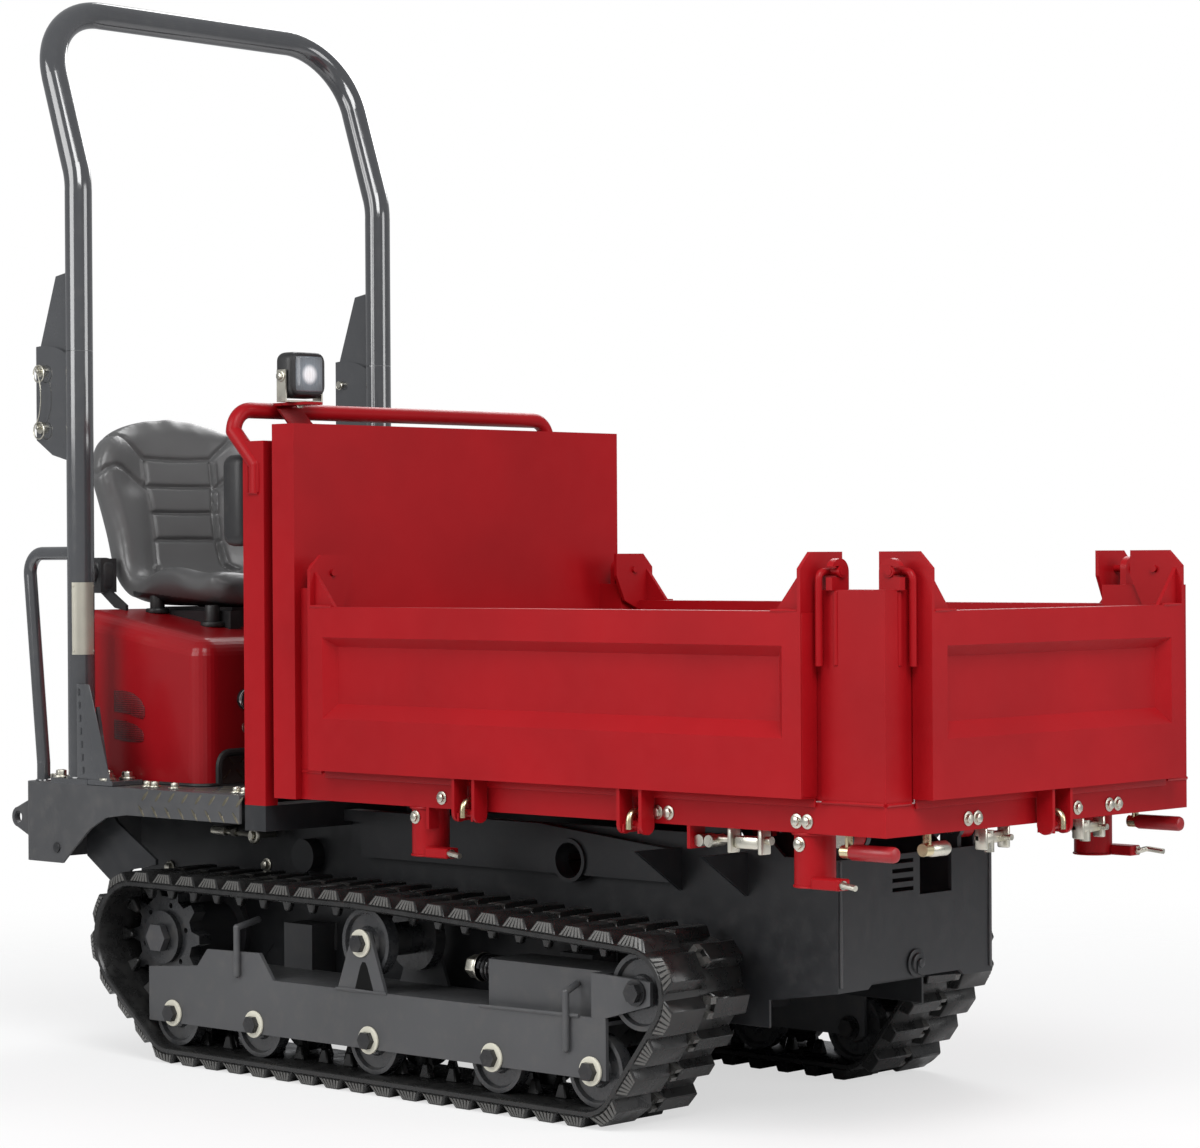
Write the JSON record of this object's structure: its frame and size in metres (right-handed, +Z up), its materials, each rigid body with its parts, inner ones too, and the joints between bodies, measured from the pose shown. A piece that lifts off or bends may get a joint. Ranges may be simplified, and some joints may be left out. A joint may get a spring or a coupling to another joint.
{
  "type": "tracked power carrier",
  "caption": "Ride-on tracked carrier with a tipping drop-side load bed, foldable roll bar, seat over an engine cover and rubber tracks on rollers.",
  "frame": {"origin": "on the ground, under the middle of the overall length and width", "axes": "+X towards the tailgate, +Y to the operator's left, +Z up"},
  "size_m": [2.6244, 1.0404, 2.3673],
  "materials": {
    "red_paint": "semi-gloss red enamel",
    "grey_paint": "satin dark grey enamel",
    "rollbar_paint": "semi-gloss charcoal enamel",
    "black_steel": "satin black",
    "track_rubber": "matte moulded rubber",
    "wheel_iron": "painted cast iron with worn rims",
    "cast_iron": "painted castings",
    "zinc_steel": "zinc-plated",
    "gold_zinc": "yellow-passivated zinc",
    "chrome_rod": "hard chrome",
    "black_plastic": "moulded black plastic",
    "seat_vinyl": "grey vinyl",
    "clear_lens": "clear moulded lens"
  },
  "bodies": {
    "chassis": {"chassis_frame": "grey_paint", "chassis_sides": "grey_paint", "deck": "grey_paint", "track_frames": "grey_paint", "track_belts": "track_rubber", "idler_yokes": "grey_paint", "tension_springs": "zinc_steel", "wheel_axles": "zinc_steel", "travel_motors": "cast_iron", "engine": "cast_iron", "hydraulic_pump": "cast_iron", "fuel_tank": "black_plastic", "hydraulic_tank": "black_plastic", "engine_cover": "red_paint", "seat": "seat_vinyl", "seat_base": "black_steel", "seat_belt": "black_plastic", "rops_posts": "rollbar_paint", "rops_pins": "zinc_steel", "handrails": "rollbar_paint", "guard_frame": "red_paint", "light_strap": "zinc_steel", "console": "black_plastic", "hinge_pins": "zinc_steel"},
    "bed": {"bed_frame": "red_paint", "headboard": "red_paint"},
    "rops_hoop": {"rops_hoop": "rollbar_paint"},
    "work_light": {"work_light": "black_plastic", "work_light_lens": "clear_lens"},
    "right_side_board": {"right_side_board": "red_paint"},
    "left_side_board": {"left_side_board": "red_paint"},
    "tailgate": {"tailgate": "red_paint"},
    "dump_cylinder": {"dump_cylinder": "black_steel"},
    "dump_rod": {"dump_rod": "chrome_rod"},
    "right_board_latches": {"right_board_latches": "red_paint"},
    "left_board_latches": {"left_board_latches": "red_paint"},
    "tailgate_latches": {"tailgate_latches": "red_paint"},
    "right_hook_bar": {"right_hook_bar": "gold_zinc"},
    "left_hook_bar": {"left_hook_bar": "gold_zinc"},
    "tail_hook_bar": {"tail_hook_bar": "gold_zinc"},
    "right_drive_lever": {"right_drive_lever": "black_steel"},
    "left_drive_lever": {"left_drive_lever": "black_steel"},
    "dump_lever": {"dump_lever": "black_steel"},
    "right_sprocket": {"right_sprocket": "wheel_iron"},
    "right_idler": {"right_idler": "wheel_iron"},
    "right_carrier_roller": {"right_carrier_roller": "wheel_iron"},
    "right_roller_1": {"right_roller_1": "wheel_iron"},
    "right_roller_2": {"right_roller_2": "wheel_iron"},
    "right_roller_3": {"right_roller_3": "wheel_iron"},
    "right_roller_4": {"right_roller_4": "wheel_iron"},
    "right_roller_5": {"right_roller_5": "wheel_iron"},
    "left_sprocket": {"left_sprocket": "wheel_iron"},
    "left_idler": {"left_idler": "wheel_iron"},
    "left_carrier_roller": {"left_carrier_roller": "wheel_iron"},
    "left_roller_1": {"left_roller_1": "wheel_iron"},
    "left_roller_2": {"left_roller_2": "wheel_iron"},
    "left_roller_3": {"left_roller_3": "wheel_iron"},
    "left_roller_4": {"left_roller_4": "wheel_iron"},
    "left_roller_5": {"left_roller_5": "wheel_iron"}
  },
  "joints": [
    {"name": "right_sprocket_turn", "type": "hinge", "parent": "chassis", "child": "right_sprocket", "pos_m": [-0.8059, -0.39, 0.257], "axis": [0, 1, 0], "continuous": true},
    {"name": "right_idler_turn", "type": "hinge", "parent": "chassis", "child": "right_idler", "pos_m": [0.6721, -0.39, 0.267], "axis": [0, 1, 0], "continuous": true},
    {"name": "right_carrier_roller_turn", "type": "hinge", "parent": "chassis", "child": "right_carrier_roller", "pos_m": [-0.0899, -0.39, 0.303], "axis": [0, 1, 0], "continuous": true},
    {"name": "right_roller_1_turn", "type": "hinge", "parent": "chassis", "child": "right_roller_1", "pos_m": [-0.6889, -0.39, 0.1075], "axis": [0, 1, 0], "continuous": true},
    {"name": "right_roller_2_turn", "type": "hinge", "parent": "chassis", "child": "right_roller_2", "pos_m": [-0.4219, -0.39, 0.1075], "axis": [0, 1, 0], "continuous": true},
    {"name": "right_roller_3_turn", "type": "hinge", "parent": "chassis", "child": "right_roller_3", "pos_m": [-0.0669, -0.39, 0.1075], "axis": [0, 1, 0], "continuous": true},
    {"name": "right_roller_4_turn", "type": "hinge", "parent": "chassis", "child": "right_roller_4", "pos_m": [0.2881, -0.39, 0.1075], "axis": [0, 1, 0], "continuous": true},
    {"name": "right_roller_5_turn", "type": "hinge", "parent": "chassis", "child": "right_roller_5", "pos_m": [0.5551, -0.39, 0.1075], "axis": [0, 1, 0], "continuous": true},
    {"name": "left_sprocket_turn", "type": "hinge", "parent": "chassis", "child": "left_sprocket", "pos_m": [-0.8059, 0.39, 0.257], "axis": [0, 1, 0], "continuous": true},
    {"name": "left_idler_turn", "type": "hinge", "parent": "chassis", "child": "left_idler", "pos_m": [0.6721, 0.39, 0.267], "axis": [0, 1, 0], "continuous": true},
    {"name": "left_carrier_roller_turn", "type": "hinge", "parent": "chassis", "child": "left_carrier_roller", "pos_m": [-0.0899, 0.39, 0.303], "axis": [0, 1, 0], "continuous": true},
    {"name": "left_roller_1_turn", "type": "hinge", "parent": "chassis", "child": "left_roller_1", "pos_m": [-0.6889, 0.39, 0.1075], "axis": [0, 1, 0], "continuous": true},
    {"name": "left_roller_2_turn", "type": "hinge", "parent": "chassis", "child": "left_roller_2", "pos_m": [-0.4219, 0.39, 0.1075], "axis": [0, 1, 0], "continuous": true},
    {"name": "left_roller_3_turn", "type": "hinge", "parent": "chassis", "child": "left_roller_3", "pos_m": [-0.0669, 0.39, 0.1075], "axis": [0, 1, 0], "continuous": true},
    {"name": "left_roller_4_turn", "type": "hinge", "parent": "chassis", "child": "left_roller_4", "pos_m": [0.2881, 0.39, 0.1075], "axis": [0, 1, 0], "continuous": true},
    {"name": "left_roller_5_turn", "type": "hinge", "parent": "chassis", "child": "left_roller_5", "pos_m": [0.5551, 0.39, 0.1075], "axis": [0, 1, 0], "continuous": true},
    {"name": "bed_tilt", "type": "hinge", "parent": "chassis", "child": "bed", "pos_m": [0.9391, 0, 0.555], "axis": [0, 1, 0], "range_deg": [0, 45]},
    {"name": "ram_swing", "type": "hinge", "parent": "chassis", "child": "dump_cylinder", "pos_m": [0.77455, 0, 0.27], "axis": [0, 1, 0], "range_deg": [0, 22.5]},
    {"name": "ram_extend", "type": "slide", "parent": "dump_cylinder", "child": "dump_rod", "axis": [-0.5, 0, 0.866], "range_m": [0, 0.19318]},
    {"name": "right_board_drop", "type": "hinge", "parent": "bed", "child": "right_side_board", "pos_m": [0.4541, -0.497, 0.585], "axis": [1, 0, 0], "range_deg": [0, 110]},
    {"name": "left_board_drop", "type": "hinge", "parent": "bed", "child": "left_side_board", "pos_m": [0.4541, 0.497, 0.585], "axis": [-1, 0, 0], "range_deg": [0, 110]},
    {"name": "tailgate_drop", "type": "hinge", "parent": "bed", "child": "tailgate", "pos_m": [1.2891, 0, 0.585], "axis": [0, 1, 0], "range_deg": [0, 85]},
    {"name": "right_latch_turn", "type": "hinge", "parent": "right_side_board", "child": "right_board_latches", "pos_m": [0.4541, -0.458, 1.058], "axis": [-1, 0, 0], "range_deg": [0, 45]},
    {"name": "left_latch_turn", "type": "hinge", "parent": "left_side_board", "child": "left_board_latches", "pos_m": [0.4541, 0.458, 1.058], "axis": [1, 0, 0], "range_deg": [0, 45]},
    {"name": "tailgate_latch_turn", "type": "hinge", "parent": "tailgate", "child": "tailgate_latches", "pos_m": [1.2501, 0, 1.058], "axis": [0, -1, 0], "range_deg": [0, 45]},
    {"name": "right_hook_release", "type": "hinge", "parent": "bed", "child": "right_hook_bar", "pos_m": [0.4541, -0.449, 0.606], "axis": [-1, 0, 0], "range_deg": [0, 25]},
    {"name": "left_hook_release", "type": "hinge", "parent": "bed", "child": "left_hook_bar", "pos_m": [0.4541, 0.449, 0.606], "axis": [1, 0, 0], "range_deg": [0, 25]},
    {"name": "tail_hook_release", "type": "hinge", "parent": "bed", "child": "tail_hook_bar", "pos_m": [1.2411, 0, 0.606], "axis": [0, -1, 0], "range_deg": [0, 25]},
    {"name": "rops_fold", "type": "hinge", "parent": "chassis", "child": "rops_hoop", "pos_m": [-1.1509, 0, 1.385], "axis": [0, -1, 0], "range_deg": [0, 110]},
    {"name": "light_tilt", "type": "hinge", "parent": "chassis", "child": "work_light", "pos_m": [-0.4209, -0.345, 1.47448], "axis": [0, 1, 0], "range_deg": [-40, 40]},
    {"name": "dump_lever_push", "type": "hinge", "parent": "chassis", "child": "dump_lever", "pos_m": [-0.5199, -0.15, 1.1], "axis": [0, 1, 0], "range_deg": [-20, 20]},
    {"name": "right_drive_lever_push", "type": "hinge", "parent": "chassis", "child": "right_drive_lever", "pos_m": [-0.5199, -0.06, 1.1], "axis": [0, 1, 0], "range_deg": [-20, 20]},
    {"name": "left_drive_lever_push", "type": "hinge", "parent": "chassis", "child": "left_drive_lever", "pos_m": [-0.5199, 0.06, 1.1], "axis": [0, 1, 0], "range_deg": [-20, 20]}
  ],
  "couplings": [
    {"joint": "right_idler_turn", "follows": "right_sprocket_turn", "ratio": 1.5503},
    {"joint": "right_carrier_roller_turn", "follows": "right_sprocket_turn", "ratio": 1.6383},
    {"joint": "right_roller_1_turn", "follows": "right_sprocket_turn", "ratio": 1.6154},
    {"joint": "right_roller_2_turn", "follows": "right_sprocket_turn", "ratio": 1.6154},
    {"joint": "right_roller_3_turn", "follows": "right_sprocket_turn", "ratio": 1.6154},
    {"joint": "right_roller_4_turn", "follows": "right_sprocket_turn", "ratio": 1.6154},
    {"joint": "right_roller_5_turn", "follows": "right_sprocket_turn", "ratio": 1.6154},
    {"joint": "left_idler_turn", "follows": "left_sprocket_turn", "ratio": 1.5503},
    {"joint": "left_carrier_roller_turn", "follows": "left_sprocket_turn", "ratio": 1.6383},
    {"joint": "left_roller_1_turn", "follows": "left_sprocket_turn", "ratio": 1.6154},
    {"joint": "left_roller_2_turn", "follows": "left_sprocket_turn", "ratio": 1.6154},
    {"joint": "left_roller_3_turn", "follows": "left_sprocket_turn", "ratio": 1.6154},
    {"joint": "left_roller_4_turn", "follows": "left_sprocket_turn", "ratio": 1.6154},
    {"joint": "left_roller_5_turn", "follows": "left_sprocket_turn", "ratio": 1.6154},
    {"joint": "ram_swing", "follows": "bed_tilt", "ratio": 0.5},
    {"joint": "ram_extend", "follows": "bed_tilt", "m_per_rad": 0.24584}
  ]
}
